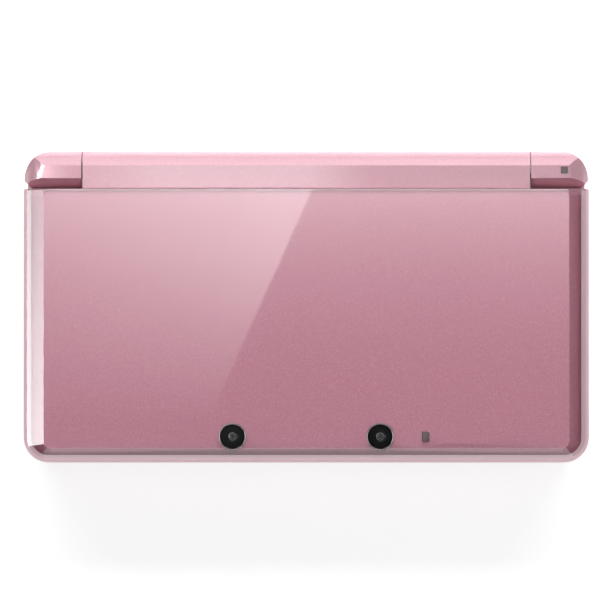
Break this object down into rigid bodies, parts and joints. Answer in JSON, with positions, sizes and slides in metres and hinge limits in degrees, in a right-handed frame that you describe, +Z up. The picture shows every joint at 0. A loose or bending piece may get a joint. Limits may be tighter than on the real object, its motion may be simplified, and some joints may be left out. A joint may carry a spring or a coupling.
{
  "type": "clamshell handheld game console",
  "caption": "Folding handheld game console with a clear bevelled lid cover, two screens, slide pad, direction pad, buttons, shoulder buttons and a stylus.",
  "frame": {"origin": "centre of the closed console's footprint, on the table it stands on", "axes": "+X to the player's right along the hinge, +Y from the front edge to the hinge, +Z up out of the lid"},
  "size_m": [0.134, 0.074, 0.021],
  "materials": {
    "clear_cover": "clear polished polycarbonate",
    "pearl_panel": "pearl pink, satin under the clear cover",
    "pink_shell": "pearl pink moulded and painted",
    "black_gloss": "piano black",
    "black_matte": "fine matt texture",
    "screen": "dark display surface",
    "silver_trim": "polished ring",
    "steel": "stamped steel",
    "rubber": "grey silicone rubber",
    "white_plastic": "light grey controls",
    "board": "solder resist"
  },
  "bodies": {
    "lid": {"lid_clear_cover": "clear_cover", "lid_colour_panel": "pearl_panel", "lid_housing": "pink_shell", "upper_screen_lens": "black_gloss", "upper_display": "screen", "camera_ring_left": "silver_trim", "camera_ring_right": "silver_trim", "camera_lens_left": "black_gloss", "camera_lens_right": "black_gloss", "outer_camera_module": "black_matte", "camera_light_window": "white_plastic", "inner_camera": "black_gloss", "speaker_left": "black_matte", "speaker_right": "black_matte", "lid_bumper_left": "rubber", "lid_bumper_right": "rubber", "hinge_cartridge": "steel", "hinge_bushing": "black_matte"},
    "base": {"base_top_shell": "pink_shell", "base_bottom_shell": "black_matte", "battery_cover": "pink_shell", "foot_front_left": "rubber", "foot_front_right": "rubber", "foot_back_left": "rubber", "foot_back_right": "rubber", "cover_screw_left": "steel", "cover_screw_right": "steel", "battery_pack": "black_matte", "main_board": "board", "touch_screen_glass": "screen", "lower_display": "screen", "face_button_mat": "rubber", "game_card_connector": "steel", "power_jack": "black_matte", "headphone_jack": "black_matte", "memory_card_reader": "steel", "infrared_window": "black_gloss", "notification_light": "white_plastic", "status_light_guide": "white_plastic", "hinge_shaft": "steel"},
    "depth_slider": {"depth_slider": "white_plastic"},
    "circle_pad_carriage": {"circle_pad_carriage": "black_matte"},
    "circle_pad": {"circle_pad": "white_plastic"},
    "direction_pad_rocker": {"direction_pad_rocker": "black_matte"},
    "direction_pad": {"direction_pad": "black_matte"},
    "face_button_right": {"face_button_right": "white_plastic"},
    "face_button_bottom": {"face_button_bottom": "white_plastic"},
    "face_button_top": {"face_button_top": "white_plastic"},
    "face_button_left": {"face_button_left": "white_plastic"},
    "menu_key_left": {"menu_key_left": "black_matte"},
    "menu_key_middle": {"menu_key_middle": "black_matte"},
    "menu_key_right": {"menu_key_right": "black_matte"},
    "power_button": {"power_button": "black_matte"},
    "left_shoulder_button": {"left_shoulder_button": "pink_shell"},
    "right_shoulder_button": {"right_shoulder_button": "pink_shell"},
    "volume_slider": {"volume_slider": "white_plastic"},
    "wireless_switch": {"wireless_switch": "white_plastic"},
    "memory_card_door": {"memory_card_door": "black_matte"},
    "stylus_barrel": {"stylus_barrel": "black_matte"},
    "stylus_rod": {"stylus_rod": "black_matte"}
  },
  "joints": [
    {"name": "lid_hinge", "type": "hinge", "parent": "base", "child": "lid", "pos_m": [0, 0.0324, 0.0155], "axis": [-1, 0, 0], "range_deg": [0, 155]},
    {"name": "depth_slide", "type": "slide", "parent": "lid", "child": "depth_slider", "axis": [0, -1, 0], "range_m": [0, 0.01]},
    {"name": "circle_pad_slide_x", "type": "slide", "parent": "base", "child": "circle_pad_carriage", "axis": [1, 0, 0], "range_m": [-0.0016, 0.0016], "stiffness_N_per_m": 150},
    {"name": "circle_pad_slide_y", "type": "slide", "parent": "circle_pad_carriage", "child": "circle_pad", "axis": [0, 1, 0], "range_m": [-0.0016, 0.0016], "stiffness_N_per_m": 150},
    {"name": "direction_pad_tilt_x", "type": "hinge", "parent": "base", "child": "direction_pad_rocker", "pos_m": [-0.051, -0.01841, 0.0096], "axis": [1, 0, 0], "range_deg": [-4, 4], "stiffness_Nm_per_rad": 0.1},
    {"name": "direction_pad_tilt_y", "type": "hinge", "parent": "direction_pad_rocker", "child": "direction_pad", "pos_m": [-0.051, -0.01841, 0.0096], "axis": [0, 1, 0], "range_deg": [-4, 4], "stiffness_Nm_per_rad": 0.1},
    {"name": "face_button_right_press", "type": "slide", "parent": "base", "child": "face_button_right", "axis": [0, 0, -1], "range_m": [0, 0.0008], "stiffness_N_per_m": 500, "springref_m": -0.0003},
    {"name": "face_button_bottom_press", "type": "slide", "parent": "base", "child": "face_button_bottom", "axis": [0, 0, -1], "range_m": [0, 0.0008], "stiffness_N_per_m": 500, "springref_m": -0.0003},
    {"name": "face_button_top_press", "type": "slide", "parent": "base", "child": "face_button_top", "axis": [0, 0, -1], "range_m": [0, 0.0008], "stiffness_N_per_m": 500, "springref_m": -0.0003},
    {"name": "face_button_left_press", "type": "slide", "parent": "base", "child": "face_button_left", "axis": [0, 0, -1], "range_m": [0, 0.0008], "stiffness_N_per_m": 500, "springref_m": -0.0003},
    {"name": "menu_key_left_press", "type": "slide", "parent": "base", "child": "menu_key_left", "axis": [0, 0, -1], "range_m": [0, 0.0004], "stiffness_N_per_m": 800, "springref_m": -0.0003},
    {"name": "menu_key_middle_press", "type": "slide", "parent": "base", "child": "menu_key_middle", "axis": [0, 0, -1], "range_m": [0, 0.0004], "stiffness_N_per_m": 800, "springref_m": -0.0003},
    {"name": "menu_key_right_press", "type": "slide", "parent": "base", "child": "menu_key_right", "axis": [0, 0, -1], "range_m": [0, 0.0004], "stiffness_N_per_m": 800, "springref_m": -0.0003},
    {"name": "power_button_press", "type": "slide", "parent": "base", "child": "power_button", "axis": [0, 0, -1], "range_m": [0, 0.0005], "stiffness_N_per_m": 800, "springref_m": -0.0003},
    {"name": "left_shoulder_press", "type": "hinge", "parent": "base", "child": "left_shoulder_button", "pos_m": [-0.0502, 0.0341, 0.007], "axis": [0, 0, 1], "range_deg": [0, 3.5], "stiffness_Nm_per_rad": 0.2, "springref_deg": -1.15},
    {"name": "right_shoulder_press", "type": "hinge", "parent": "base", "child": "right_shoulder_button", "pos_m": [0.0502, 0.0341, 0.007], "axis": [0, 0, -1], "range_deg": [0, 3.5], "stiffness_Nm_per_rad": 0.2, "springref_deg": -1.15},
    {"name": "volume_slide", "type": "slide", "parent": "base", "child": "volume_slider", "axis": [0, 1, 0], "range_m": [-0.004, 0.004]},
    {"name": "wireless_slide", "type": "slide", "parent": "base", "child": "wireless_switch", "axis": [0, 1, 0], "range_m": [0, 0.0018], "stiffness_N_per_m": 200, "springref_m": -0.0002},
    {"name": "card_door_hinge", "type": "hinge", "parent": "base", "child": "memory_card_door", "pos_m": [-0.0656, 0, 0.0045], "axis": [0, -1, 0], "range_deg": [0, 95]},
    {"name": "stylus_slide", "type": "slide", "parent": "base", "child": "stylus_barrel", "axis": [0, 1, 0], "range_m": [0, 0.052]},
    {"name": "stylus_extend", "type": "slide", "parent": "stylus_barrel", "child": "stylus_rod", "axis": [0, -1, 0], "range_m": [0, 0.019]}
  ]
}
